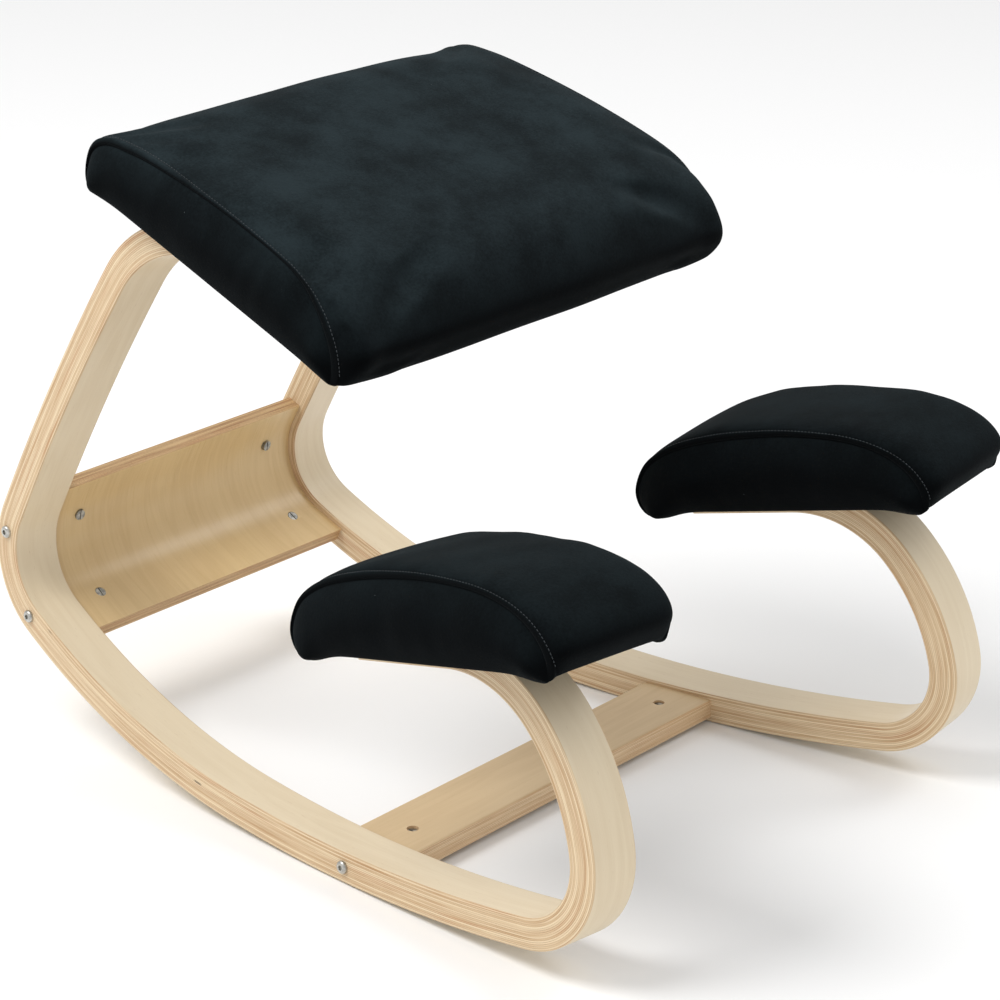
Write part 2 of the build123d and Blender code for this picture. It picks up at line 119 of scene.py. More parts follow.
def runner_frame():
    """Outer face of the right runner; its side direction points outward."""
    slope = radians(SEAT_SLOPE)
    splay = radians(SPLAY)
    outward = Vector((-cos(splay), sin(splay) * cos(slope), sin(splay) * sin(slope)))
    forward = Vector((-outward.y, outward.x, 0)).normalized()
    origin = (-HALF_SPREAD, SPREAD_POINT_Y, STRIP_WIDTH * outward.z)
    return Frame(origin, forward, outward.cross(forward), outward)


RUNNER = runner_frame()


def seat_frame():
    """Top of the seat rails at the middle of the chair: forward down the slope, sideways to the left."""
    slope = radians(SEAT_SLOPE)
    corner = RUNNER.at(*RAIL_END, -STRIP_WIDTH / 2)
    forward = (0, -cos(slope), -sin(slope))
    return Frame((0, corner.y, corner.z), forward, (0, -sin(slope), cos(slope)), (1, 0, 0))


SEAT = seat_frame()


def rail_fall():
    """Slope of the seat rail in its runner's plane."""
    along = RUNNER.side.cross(SEAT.up)
    return degrees(atan2(along.dot(RUNNER.up), -along.dot(RUNNER.forward)))


def walk(pieces, place, heading):
    """Stations STATION_STEP apart along runs and arcs: (distance, place, heading in degrees)."""
    place = Vector(place)
    walked = 0.0
    stations = [(walked, place.copy(), heading)]
    for length, turn in pieces:
        count = ceil(length / STATION_STEP)
        step_turn = radians(turn) / count
        chord = length / count
        if turn:
            chord *= sin(step_turn / 2) / (step_turn / 2)
        for _ in range(count):
            middle = radians(heading) + step_turn / 2
            place = place + Vector((cos(middle), sin(middle))) * chord
            heading += turn / count
            walked += length / count
            stations.append((walked, place.copy(), heading))
    return stations


def inner_point(station, depth):
    """A point depth inside the convex face, in the runner's plane."""
    heading = radians(station[2])
    return station[1] + Vector((-sin(heading), cos(heading))) * depth


def runner_pieces():
    """(length, degrees turned) of each stretch of a runner's convex face."""
    heading = 180.0 - rail_fall()
    pieces = [(SEAT_RAIL_LENGTH, 0.0)]
    pieces += [(radius * radians(turn), turn) for radius, turn in BENDS.values()]
    knee_turn = 540.0 + KNEE_SLOPE - heading - sum(turn for length, turn in pieces)
    pieces.append((KNEE_BEND_RADIUS * radians(knee_turn), knee_turn))
    pieces.append((KNEE_RAIL_LENGTH, 0.0))
    return pieces


PIECES = runner_pieces()
STATIONS = walk(PIECES, RAIL_END, 180.0 - rail_fall())


def knee_frame():
    """Free end of the right knee rail, at the rail's middle: forward up its slope, sideways outward."""
    slope = radians(KNEE_SLOPE)
    end = STATIONS[-1][1]
    forward = RUNNER.forward * cos(slope) + RUNNER.up * sin(slope)
    up = RUNNER.up * cos(slope) - RUNNER.forward * sin(slope)
    return Frame(RUNNER.at(end.x, end.y, -STRIP_WIDTH / 2), forward, up, RUNNER.side)


KNEE = knee_frame()


CURVE_STEPS = 16


def smooth_line(points, count):
    """count + 1 evenly spaced places on a smooth curve through the points."""
    points = [Vector(point) for point in points]
    ends = [points[0] * 2 - points[1]] + points + [points[-1] * 2 - points[-2]]
    fine = []
    for first, start, end, last in zip(ends, ends[1:], ends[2:], ends[3:]):
        for step in range(CURVE_STEPS):
            t = step / CURVE_STEPS
            lean_in = (end - first) / 2
            lean_out = (last - start) / 2
            fine.append(start * (2 * t**3 - 3 * t**2 + 1) + lean_in * (t**3 - 2 * t**2 + t)
                        + end * (3 * t**2 - 2 * t**3) + lean_out * (t**3 - t**2))
    fine.append(points[-1])
    return evenly(fine, count)


def evenly(line, count):
    """count + 1 places at even distances along a fine line."""
    lengths = [0.0]
    for start, end in zip(line, line[1:]):
        lengths.append(lengths[-1] + (end - start).length)
    placed = []
    span = 0
    for step in range(count + 1):
        target = lengths[-1] * step / count
        while span < len(line) - 2 and lengths[span + 1] < target:
            span += 1
        share = (target - lengths[span]) / max(lengths[span + 1] - lengths[span], 1e-9)
        placed.append(line[span].lerp(line[span + 1], share))
    return placed


# ------------------------------------------------------------------ mesh helpers

def new_object(name, bm):
    """An object made from a bmesh, smooth, with its normals outward."""
    bmesh.ops.recalc_face_normals(bm, faces=bm.faces)
    mesh = bpy.data.meshes.new(name)
    bm.to_mesh(mesh)
    bm.free()
    mesh.shade_smooth()
    obj = bpy.data.objects.new(name, mesh)
    bpy.context.scene.collection.objects.link(obj)
    return obj


def mirrored(obj, name):
    """The object's mirror image on the other side of the chair."""
    mesh = obj.data.copy()
    mesh.transform(Matrix.Scale(-1, 4, (1, 0, 0)))
    mesh.flip_normals()
    twin = bpy.data.objects.new(name, mesh)
    bpy.context.scene.collection.objects.link(twin)
    return twin


def finish_piece(obj, slot_name, materials, *cad_nodes):
    """Materials, the body it rides on, and the CAD nodes it stands for. slot_name is not used."""
    for made in materials:
        obj.data.materials.append(made)
    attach(obj, "root")
    if cad_nodes:
        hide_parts(*cad_nodes)


# ------------------------------------------------------------------ material helpers

class Tree:
    """A short way to write a material's nodes."""

    def __init__(self, name):
        self.material = bpy.data.materials.new(name)
        self.material.use_nodes = True
        self.nodes = self.material.node_tree.nodes
        self.links = self.material.node_tree.links
        self.shader = self.nodes["Principled BSDF"]

    def feed(self, socket, value):
        if isinstance(value, bpy.types.NodeSocket):
            self.links.new(value, socket)
        else:
            socket.default_value = value

    def add(self, kind, inputs, **settings):
        node = self.nodes.new("ShaderNode" + kind)
        for key, value in settings.items():
            setattr(node, key, value)
        for key, value in inputs.items():
            self.feed(node.inputs[key], value)
        return node

    def math(self, operation, *values):
        node = self.add("Math", dict(enumerate(values)), operation=operation)
        return node.outputs[0]

    def scaled(self, vector, scales, offset=(0, 0, 0)):
        node = self.add("VectorMath", {0: vector, 1: scales, 2: offset}, operation="MULTIPLY_ADD")
        return node.outputs[0]

    def noise(self, vector, detail=2.0, roughness=0.5):
        """Noise from 0 to 1 with a feature size of about one unit of the vector."""
        inputs = {"Vector": vector, "Scale": 1.0, "Detail": detail, "Roughness": roughness}
        return self.add("TexNoise", inputs).outputs["Fac"]

    def between(self, value, low, high, to_low=0.0, to_high=1.0):
        """Smooth step of a value from low to high."""
        inputs = {"Value": value, "From Min": low, "From Max": high, "To Min": to_low, "To Max": to_high}
        return self.add("MapRange", inputs, interpolation_type="SMOOTHSTEP").outputs[0]

    def mix(self, factor, first, second, blend="MIX"):
        node = self.add("Mix", {0: factor, 6: first, 7: second}, data_type="RGBA", blend_type=blend)
        return node.outputs[2]

    def split(self, vector):
        return self.add("SeparateXYZ", {0: vector}).outputs

    def position(self):
        return self.add("TexCoord", {}).outputs["Object"]

    def attribute(self, name):
        return self.add("Attribute", {}, attribute_name=name).outputs["Vector"]

    def bump(self, height, distance, strength=1.0):
        inputs = {"Height": height, "Distance": distance, "Strength": strength}
        self.feed(self.shader.inputs["Normal"], self.add("Bump", inputs).outputs[0])

    def surface(self, **values):
        """Sets the shader's own sockets, named with _ for a space."""
        for key, value in values.items():
            self.feed(self.shader.inputs[key.replace("_", " ")], value)
        return self.material


def srgb(red, green, blue):
    """Linear colour of an sRGB colour given from 0 to 255."""
    def linear(value):
        share = value / 255
        return share / 12.92 if share <= 0.04045 else ((share + 0.055) / 1.055) ** 2.4
    return (linear(red), linear(green), linear(blue), 1.0)


# ------------------------------------------------------------------ wood

FLECK = srgb(158, 112, 66)
GLUE_LINE = srgb(122, 76, 42)
DARK_HEART = srgb(168, 96, 48)
# painted shade inside the voids of a ply edge
VOID_PAINTED_SHADE = srgb(38, 24, 15)
BOARD_EDGE = (srgb(226, 200, 162), srgb(190, 146, 98))


def veneer_colour(t, grain, pale, deep):
    """Face veneer. grain is a vector in metres: along the fibres, across them, through the plies."""
    figure = t.noise(t.scaled(grain, (3.0, 26.0, 40.0)), 3.0)
    contour = t.math("SINE", t.math("MULTIPLY", figure, 46.0))
    fibre = t.noise(t.scaled(grain, (14.0, 900.0, 900.0)), 4.0, 0.6)
    cloud = t.noise(t.scaled(grain, (5.0, 9.0, 9.0)), 2.0)
    depth = t.math("MULTIPLY_ADD", contour, 0.05, 0.30)
    depth = t.math("MULTIPLY_ADD", t.math("SUBTRACT", fibre, 0.5), 0.30, depth)
    depth = t.math("MULTIPLY_ADD", t.math("SUBTRACT", cloud, 0.5), 0.6, depth)
    colour = t.mix(t.between(depth, 0.0, 1.0), pale, deep)
    fleck = t.between(t.noise(t.scaled(grain, (130.0, 1100.0, 1100.0)), 1.0), 0.70, 0.80, 0.0, 0.22)
    return t.mix(fleck, colour, FLECK), fibre


def ply_colour(t, grain, ply_thick, pale, deep):
    """Sawn edge of the plies: tones that differ from ply to ply, glue lines, streaks and a few voids, whose
    dark colour is painted shade over a dent in the bump.
    """
    along, across, through = t.split(grain)
    wander = t.noise(t.scaled(grain, (9.0, 5.0, 0.0)), 2.0)
    level = t.math("DIVIDE", t.math("MULTIPLY_ADD", wander, 0.0009, through), ply_thick)
    layer = t.math("FLOOR", level)
    share = t.math("FRACT", level)
    tone = t.add("TexWhiteNoise", {"W": layer}, noise_dimensions="1D").outputs["Value"]
    beside = t.add("CombineXYZ", {0: t.math("MULTIPLY", along, 11.0), 1: t.math("MULTIPLY", layer, 7.3),
                                  2: t.math("MULTIPLY", across, 8.0)}).outputs[0]
    patch = t.noise(beside, 2.0)
    streak = t.noise(t.scaled(grain, (16.0, 300.0, 2600.0)), 3.0, 0.6)
    weight = t.math("MULTIPLY_ADD", tone, 0.45, t.math("MULTIPLY_ADD", patch, 0.9, -0.36))
    weight = t.math("MULTIPLY_ADD", t.math("SUBTRACT", streak, 0.5), 0.9, weight)
    colour = t.mix(t.between(weight, 0.0, 1.0), pale, deep)
    edge = t.math("ABSOLUTE", t.math("SUBTRACT", share, 0.5))
    line = t.between(edge, 0.40, 0.485)
    strength = t.between(t.noise(t.scaled(beside, (1.7, 1.0, 1.0)), 2.0), 0.36, 0.60, 0.25, 1.0)
    colour = t.mix(t.math("MULTIPLY", line, strength), colour, GLUE_LINE)
    heart = t.noise(t.scaled(beside, (0.6, 1.9, 1.0), (3.1, 0.7, 0.0)), 2.0)
    heart = t.math("MULTIPLY", t.between(heart, 0.54, 0.70, 0.0, 0.85), t.between(edge, 0.16, 0.44))
    colour = t.mix(heart, colour, DARK_HEART)
    # Voids: a dent in the bump, coloured with painted shade for the dark inside of the hole.
    gap = t.between(t.noise(t.scaled(beside, (1.5, 3.1, 1.0), (7.7, 2.2, 0.0)), 1.0), 0.765, 0.785)
    gap = t.math("MULTIPLY", gap, t.between(edge, 0.06, 0.20))
    height = t.math("MULTIPLY_ADD", gap, -1.6, t.math("MULTIPLY_ADD", line, -0.35, streak))
    return t.mix(gap, colour, VOID_PAINTED_SHADE), height


def veneer(name, grain_source, pale, deep, roughness=0.42):
    """Satin-lacquered face veneer."""
    t = Tree(name)
    colour, fibre = veneer_colour(t, grain_source(t), pale, deep)
    t.bump(fibre, 0.00012, 0.5)
    sheen = t.between(fibre, 0.2, 0.8, roughness - 0.05, roughness + 0.07)
    return t.surface(Base_Color=colour, Roughness=sheen, Coat_Weight=0.18, Coat_Roughness=0.3,
                     Specular_IOR_Level=0.45)


def plies(name, grain_source, ply_thick, pale, deep):
    """Sawn and lightly lacquered edge of the plies."""
    t = Tree(name)
    colour, height = ply_colour(t, grain_source(t), ply_thick, pale, deep)
    t.bump(height, 0.0002, 0.6)
    return t.surface(Base_Color=colour, Roughness=0.55, Coat_Weight=0.08, Coat_Roughness=0.4,
                     Specular_IOR_Level=0.4)


def flat_plywood(name, pale, deep, ply_thick):
    """Flat board: veneer on the faces that look up or down, plies on its edges."""
    t = Tree(name)
    grain = t.position()
    face, fibre = veneer_colour(t, grain, pale, deep)
    edge, height = ply_colour(t, grain, ply_thick, *BOARD_EDGE)
    facing = t.math("ABSOLUTE", t.split(t.add("NewGeometry", {}).outputs["True Normal"])[2])
    on_face = t.between(facing, 0.6, 0.8)
    t.bump(t.math("ADD", fibre, height), 0.00015, 0.5)
    return t.surface(Base_Color=t.mix(on_face, edge, face), Roughness=0.46, Coat_Weight=0.15,
                     Coat_Roughness=0.3, Specular_IOR_Level=0.4)


def grain_attribute(t):
    """Wood coordinates that a swept strip carries with it round its bends."""
    return t.attribute("grain")


def grain_position(t):
    """Wood coordinates of a straight piece."""
    return t.position()


# ------------------------------------------------------------------ metal and cloth

def zinc(name, tint, roughness):
    """Zinc-plated steel: dull blotches and fine turning marks."""
    t = Tree(name)
    place = t.position()
    blotch = t.noise(t.scaled(place, (260.0,) * 3), 3.0)
    marks = t.noise(t.scaled(place, (400.0, 2600.0, 2600.0)), 2.0)
    colour = t.mix(t.between(blotch, 0.35, 0.7), tint, srgb(205, 203, 196))
    rough = t.between(blotch, 0.3, 0.75, roughness - 0.08, roughness + 0.14)
    t.bump(marks, 0.00004, 0.6)
    return t.surface(Base_Color=colour, Roughness=rough, Metallic=1.0)


CLOTH_DEEP = srgb(14, 19, 21)
CLOTH_PALE = srgb(30, 38, 41)
# painted shade: the cloth's colour where it faces down
CLOTH_PAINTED_SHADE = srgb(3, 4, 5)
LINT = srgb(150, 158, 160)


def microfibre(name, painted_brightness):
    """Black brushed microfibre: short nap that lies in soft clouds, with a faint bluish bloom, and painted
    shade that darkens its faces as they turn sideways and down.
    """
    t = Tree(name)
    place = t.position()
    cloud = t.noise(t.scaled(place, (17.0, 17.0, 17.0)), 4.0, 0.62)
    nap = t.noise(t.scaled(place, (420.0, 420.0, 420.0)), 3.0, 0.7)
    fibre = t.noise(t.scaled(place, (1900.0, 1900.0, 1900.0)), 2.0)
    tone = t.math("MULTIPLY_ADD", t.math("SUBTRACT", nap, 0.5), 0.5, cloud)
    colour = t.mix(t.between(tone, 0.25, 0.75), CLOTH_DEEP, CLOTH_PALE)
    # Painted light: the brightness argument makes the whole cloth lighter or darker.
    colour = t.mix(1.0, colour, (painted_brightness, painted_brightness, painted_brightness, 1.0), "MULTIPLY")
    # Painted shade: the colour darkens as a face turns from up to sideways and down, where less light
    # falls.
    upward = t.split(t.add("NewGeometry", {}).outputs["Normal"])[2]
    colour = t.mix(t.between(upward, -0.1, 1.0), CLOTH_PAINTED_SHADE, colour)
    cells = t.add("TexVoronoi", {"Vector": place, "Scale": 75.0})
    lint = t.between(cells.outputs["Distance"], 0.012, 0.024, 1.0, 0.0)
    lint = t.math("MULTIPLY", lint, t.between(t.split(cells.outputs["Color"])[0], 0.80, 0.84))
    colour = t.mix(t.math("MULTIPLY", lint, 0.5), colour, LINT)
    t.bump(t.math("MULTIPLY_ADD", fibre, 0.6, nap), 0.0005, 0.6)
    rough = t.between(cloud, 0.3, 0.7, 0.88, 0.98)
    return t.surface(Base_Color=colour, Roughness=rough, Specular_IOR_Level=0.035, Sheen_Weight=0.028,
                     Sheen_Roughness=0.5, Sheen_Tint=(0.70, 0.88, 0.95, 1.0))


def thread(name):
    """Twisted black thread, a little shinier than the cloth."""
    t = Tree(name)
    twist = t.noise(t.scaled(t.position(), (2400.0, 2400.0, 2400.0)), 1.0)
    t.bump(twist, 0.0002, 0.8)
    colour = t.mix(t.between(twist, 0.35, 0.65), srgb(20, 23, 25), srgb(58, 66, 70))
    return t.surface(Base_Color=colour, Roughness=0.5, Specular_IOR_Level=0.5)


def lining(name):
    """Thin black non-woven lining with its pressed dot pattern."""
    t = Tree(name)
    place = t.position()
    dots = t.add("TexVoronoi", {"Vector": place, "Scale": 420.0}).outputs["Distance"]
    fibre = t.noise(t.scaled(place, (700.0, 1500.0, 700.0)), 3.0)
    colour = t.mix(t.between(fibre, 0.3, 0.7), srgb(16, 16, 17), srgb(36, 36, 38))
    t.bump(t.math("MULTIPLY_ADD", dots, 0.6, fibre), 0.0003, 0.7)
    return t.surface(Base_Color=colour, Roughness=0.9, Specular_IOR_Level=0.25)


VENEER = veneer("birch_face", grain_attribute, srgb(228, 212, 183), srgb(203, 180, 143))
PLIES = plies("birch_plies", grain_attribute, PLY_THICK, srgb(228, 207, 172), srgb(176, 132, 84))
PANEL_FACE = veneer("panel_face", grain_attribute, srgb(222, 194, 144), srgb(186, 150, 98), 0.30)
PANEL_PLIES = plies("panel_plies", grain_attribute, PANEL_PLY, srgb(212, 180, 134), srgb(146, 98, 58))
BAR_WOOD = flat_plywood("bar_plywood", srgb(212, 186, 146), srgb(178, 146, 102), BOARD_PLY)
BOARD_WOOD = flat_plywood("board_plywood", srgb(222, 196, 154), srgb(184, 146, 100), BOARD_PLY)
DOWEL_WOOD = veneer("beech_dowel", grain_position, srgb(214, 176, 132), srgb(180, 134, 92), 0.6)
ZINC = zinc("zinc_plate", srgb(168, 168, 164), 0.34)
NUT_ZINC = zinc("nut_zinc", srgb(140, 140, 136), 0.42)
# Lit and shaded copies of one cloth: the seat's is painted lighter and the knee rests' is painted darker.
SEAT_CLOTH = microfibre("seat_microfibre", 1.35)
KNEE_CLOTH = microfibre("knee_microfibre", 0.60)
THREAD = thread("black_thread")
LINING = lining("black_lining")


# ------------------------------------------------------------------ runners

CORNER_STEPS = 3
RING_PITCH = 0.005            # between points along a section's flat sides
RING_LEAD = 0.0006            # first and last point of a flat side, from its rounded corners


def section_ring(width, thick, rounding):
    """Points (across, depth) round a strip's section, from the convex face, with rounded corners."""
    corners = [(width, 0.0, 270.0), (width, thick, 0.0), (0.0, thick, 90.0), (0.0, 0.0, 180.0)]
    ring = []
    for across, depth, start in corners:
        centre = Vector((abs(across - rounding), abs(depth - rounding)))
        for step in range(CORNER_STEPS + 1):
            angle = radians(start + 90.0 * step / CORNER_STEPS)
            ring.append(centre + Vector((cos(angle), sin(angle))) * rounding)
    full = []
    for here, after in zip(ring, ring[1:] + ring[:1]):
        full.append(here)
        gap = (after - here).length
        if gap > 4 * rounding:
            lead = RING_LEAD / gap
            count = max(2, round(gap / RING_PITCH))
            full.append(here.lerp(after, lead))
            for step in range(1, count):
                full.append(here.lerp(after, step / count))
            full.append(here.lerp(after, 1 - lead))
    return full


def sweep(name, stations, ring, place, grain, is_face):
    """A strip along the stations. place and grain give a point's place and wood coordinates."""
    bm = bmesh.new()
    layer = bm.verts.layers.float_vector.new("grain")
    rows = []
    for station in stations:
        row = []
        for across, depth in ring:
            vert = bm.verts.new(place(station, across, depth))
            vert[layer] = grain(station, across, depth)
            row.append(vert)
        rows.append(row)
    count = len(ring)
    for low, high in zip(rows, rows[1:]):
        for i in range(count):
            j = (i + 1) % count
            face = bm.faces.new((low[i], low[j], high[j], high[i]))
            face.material_index = 0 if is_face(ring[i], ring[j]) else 1
    for row in (rows[0], rows[-1]):
        bm.faces.new(row).material_index = 1
    return new_object(name, bm)


def on_wide_face(first, second):
    """True between two ring points on the convex or the concave face."""
    return abs(first[1] - second[1]) < 1e-7


OTHER_LOG = Vector((5.0, 0.3, 0.0))   # the left strip was cut from other veneers


def make_runners():
    ring = section_ring(STRIP_WIDTH, STRIP_THICK, EDGE_ROUND)

    def place(station, across, depth):
        point = inner_point(station, depth)
        return RUNNER.at(point.x, point.y, -across)

    def grain(station, across, depth):
        return Vector((station[0], across, depth))

    right = sweep("right_runner_strip", STATIONS, ring, place, grain, on_wide_face)
    left = mirrored(right, "left_runner_strip")
    for point in left.data.attributes["grain"].data:
        point.vector = point.vector + OTHER_LOG
    finish_piece(right, "runner_plywood", [VENEER, PLIES], "right_runner")
    finish_piece(left, "runner_plywood", [VENEER, PLIES], "left_runner")


# ------------------------------------------------------------------ rear panel

def inner_half_width(place):
    """Distance from the chair's middle to a runner's inner face at a height and depth."""
    corner = RUNNER.at(0, 0, -STRIP_WIDTH)
    lean = RUNNER.side.y * (place.y - corner.y) + RUNNER.side.z * (place.z - corner.z)
    return abs(corner.x - lean / RUNNER.side.x)


def make_panel():
    """Bent panel between the rear bends, with the barrel nuts' holes sunk in its concave face."""
    before_bend = sum(length for length, turn in PIECES[:3])
    after_bend = before_bend + PIECES[3][0]
    stations = [s for s in STATIONS
                if before_bend - PANEL_REACH_UP < s[0] < after_bend + PANEL_REACH_DOWN]
    corner = RUNNER.at(0, 0, -STRIP_WIDTH)

    def place(station, share, depth):
        point = inner_point(station, PANEL_DEPTH + depth)
        spot = Vector((0, corner.y - point.x, corner.z + point.y))
        spot.x = (2 * share - 1) * inner_half_width(spot)
        return spot

    def grain(station, share, depth):
        return Vector((station[0], share * 2 * HALF_SPREAD, depth))

    panel = sweep("rear_panel_bent", stations, panel_ring(), place, grain, on_wide_face)
    cut_nut_holes(panel)
    finish_piece(panel, "panel_plywood", [PANEL_FACE, PANEL_PLIES], "rear_panel")


PANEL_COLUMNS = 40


def panel_ring():
    """Points (share of the width, depth) round the panel's section."""
    shares = [step / PANEL_COLUMNS for step in range(PANEL_COLUMNS + 1)]
    low = [Vector((share, 0.0)) for share in shares]
    high = [Vector((share, PANEL_THICK)) for share in reversed(shares)]
    return low + high


# Lower and upper end from a barrel nut's middle, and the radius at each: the bore, then its broken edge
NUT_HOLE = ((-0.0058, 0.02, 0.00505, 0.00505), (0.0054, 0.0080, 0.0046, 0.0072))
NUT_HOLE_SIDES = 40
PANEL_SHARP_ANGLE = 28.0


def cut_nut_holes(panel):
    """Bores a hole round each barrel nut of the CAD model."""
    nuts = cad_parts["rear_panel_barrel_nuts"].data
    bm = bmesh.new()
    bm.from_mesh(nuts)
    bmesh.ops.remove_doubles(bm, verts=bm.verts, dist=1e-6)
    cutters = bmesh.new()
    for group in islands(bm):
        centre = sum((vert.co for vert in group), Vector()) / len(group)
        axis = toward_bend_middle(centre)
        turn = Vector((0, 0, 1)).rotation_difference(axis).to_matrix().to_4x4()
        for low, high, low_radius, high_radius in NUT_HOLE:
            middle = centre + axis * (low + high) / 2
            bmesh.ops.create_cone(cutters, cap_ends=True, segments=NUT_HOLE_SIDES, radius1=low_radius,
                                  radius2=high_radius, depth=high - low,
                                  matrix=Matrix.Translation(middle) @ turn)
    bm.free()
    mesh = bpy.data.meshes.new("nut_holes")
    cutters.to_mesh(mesh)
    cutters.free()
    tool = bpy.data.objects.new("nut_holes", mesh)
    bpy.context.scene.collection.objects.link(tool)
    cut = panel.modifiers.new("holes", "BOOLEAN")
    cut.operation = "DIFFERENCE"
    cut.object = tool
    apply_modifiers(panel)
    panel.data.set_sharp_from_angle(angle=radians(PANEL_SHARP_ANGLE))
    bpy.data.objects.remove(tool)


def islands(bm):
    """Groups of connected vertices, in the same order each time."""
    left = dict.fromkeys(bm.verts)
    groups = []
    while left:
        start = left.popitem()[0]
        group = [start]
        front = [start]
        while front:
            vert = front.pop()
            for edge in vert.link_edges:
                other = edge.other_vert(vert)
                if other in left:
                    del left[other]
                    group.append(other)
                    front.append(other)
        groups.append(group)
    return groups


def toward_bend_middle(centre):
    """Direction from a barrel nut's middle to its visible end, on the concave side of the bend."""
    toward = bend_middle() - centre
    toward.x = 0
    return toward.normalized()


def bend_middle():
    """Axis of the rear bend, at the middle of the chair."""
    start = next(s for s in STATIONS if s[0] >= sum(length for length, turn in PIECES[:3]) - 1e-6)
    point = inner_point(start, BENDS["rear_bend"][0])
    corner = RUNNER.at(0, 0, -STRIP_WIDTH)
    return Vector((0, corner.y - point.x, corner.z + point.y))


def apply_modifiers(obj):
    """Bakes an object's modifiers into its mesh."""
    graph = bpy.context.evaluated_depsgraph_get()
    mesh = bpy.data.meshes.new_from_object(obj.evaluated_get(graph), preserve_all_data_layers=True,
                                           depsgraph=graph)
    obj.modifiers.clear()
    obj.data = mesh


# ------------------------------------------------------------------ cushions

class Cushion:
    """One padded piece: its outlines, and how it is tucked in underneath."""

    def __init__(self, place, seam, crown, half_width, **shape):
        self.place = place            # its own Frame
        self.seam = smooth_line(seam, SEAM_STEPS)      # (forward, up) of a side seam, rear to front
        self.crown = smooth_line(crown, SEAM_STEPS)    # the same over the middle of the cushion
        self.half_width = half_width  # as a function of the distance forward
        self.inset = shape["inset"]   # the seam stands this far inside the side's widest line
        self.reach = shape["reach"]   # the top panel rolls over within this distance of a seam
        self.belly = shape["belly"]   # the side panel swells by this much
        self.tip_in = shape["tip_in"]        # the front corners are drawn in by this much at their
        self.tip_share = shape["tip_share"]  # tips, over this share of the seam
        self.low = shape["low"]       # heights of the lower edge: rear lip, middle, front corner
        self.lip = shape["lip"]       # share of the length that a lip or corner takes
        self.hollow = shape["hollow"]  # rear and front end of the hollow, and its distance from the side
        self.hem_rise = shape["hem_rise"]  # 0 where the hollow has upright walls, 1 for a soft hem

    def rise(self, edge):
        """0 at the lower edge of the cushion, 1 at the top of its seam."""
        bottom = min(self.seam[0].y, self.seam[-1].y)
        top = max(point.y for point in self.seam)
        return (edge.y - bottom) / (top - bottom)

    def drawn_in(self, step):
        """How far a front corner is drawn in at a step along the seam."""
        return self.tip_in * bell(step / SEAM_STEPS, 1.0, self.tip_share)

    def seam_width(self, edge, step):
        """Half the width from seam to seam."""
        return self.half_width(edge.x) - self.inset * self.rise(edge) - self.drawn_in(step)

    def lower_edge(self, share):
        """Height of the side's lower edge at a share of the length."""
        rear, middle, front = self.low
        at_rear = exp(-(share / self.lip) ** 2)
        at_front = exp(-((1 - share) / self.lip) ** 2)
        return middle + (rear - middle) * at_rear + (front - middle) * at_front


SEAM_STEPS = 76
BESIDE_SEAM = (0.0, 0.0012, 0.0026, 0.0042, 0.0056, 0.0074, 0.0100, 0.0140, 0.0190, 0.0250, 0.0330)
TOP_PITCH = 0.011
ROLL_SHARE = 0.8              # part of the crown's rise that comes beside the seams
# Where the crown stands further than this from the seam, the rows beside the seam close up towards it
SLIM_GAP = 0.009
BELOW_SEAM = (0.0, 0.0010, 0.0022, 0.0038, 0.0060, 0.0090, 0.0130)
SIDE_STEPS = 7
FULL_DROP = 0.03              # a side panel that is lower than this has a shallower groove and belly
CEILING = 0.0009              # height of the hollow underneath, over the board's lower face
CEILING_RING = 0.97           # size of the ceiling's inner ring, against its outline
# Share of the way from the lower edge to the hollow's wall, dip below the edge, share of the hem's rise.
# A rise of 1 always reaches the hollow's ceiling.
UNDERSIDE_STEPS = ((0.0, 0, 0), (0.12, 0.0012, 0), (0.4, 0.0014, 0.05), (0.75, 0, 0.3), (0.97, 0, 0.6),
                   (1.0, 0, 0.7), (1.0, 0, 1))
LIP_HEIGHT = 0.0011
LIP_MIDDLE = 0.0026
LIP_WIDTH = 0.0018
STITCH_VALLEY = 0.0011
STITCH_COLUMN = 0.0056
STITCH_WIDTH = 0.0016
GROOVE_DEPTH = 0.0034
GROOVE_FADE = 0.0042
FREE_WITHIN = 0.009


ROLL_POWER = 2.2              # 2 for a round shoulder, more for a squarer one


def bell(distance, middle, width):
    return exp(-((distance - middle) / width) ** 2)


def rolled(distance, reach):
    """Share of the full swell reached at a distance from a seam."""
    left = 1 - min(distance / reach, 1.0)
    return (1 - left ** ROLL_POWER) ** (1 / ROLL_POWER)


def loose_share(distance):
    """0 on a seam, 1 well away from it."""
    return 1 - bell(distance, 0.0, FREE_WITHIN)


def outward_directions(line):
    """Directions square to a line of (forward, up) points, away from the cushion."""
    ends = [line[0]] + line + [line[-1]]
    along = [(after - before).normalized() for before, after in zip(ends, ends[2:])]
    return [Vector((-step.y, step.x)) for step in along]


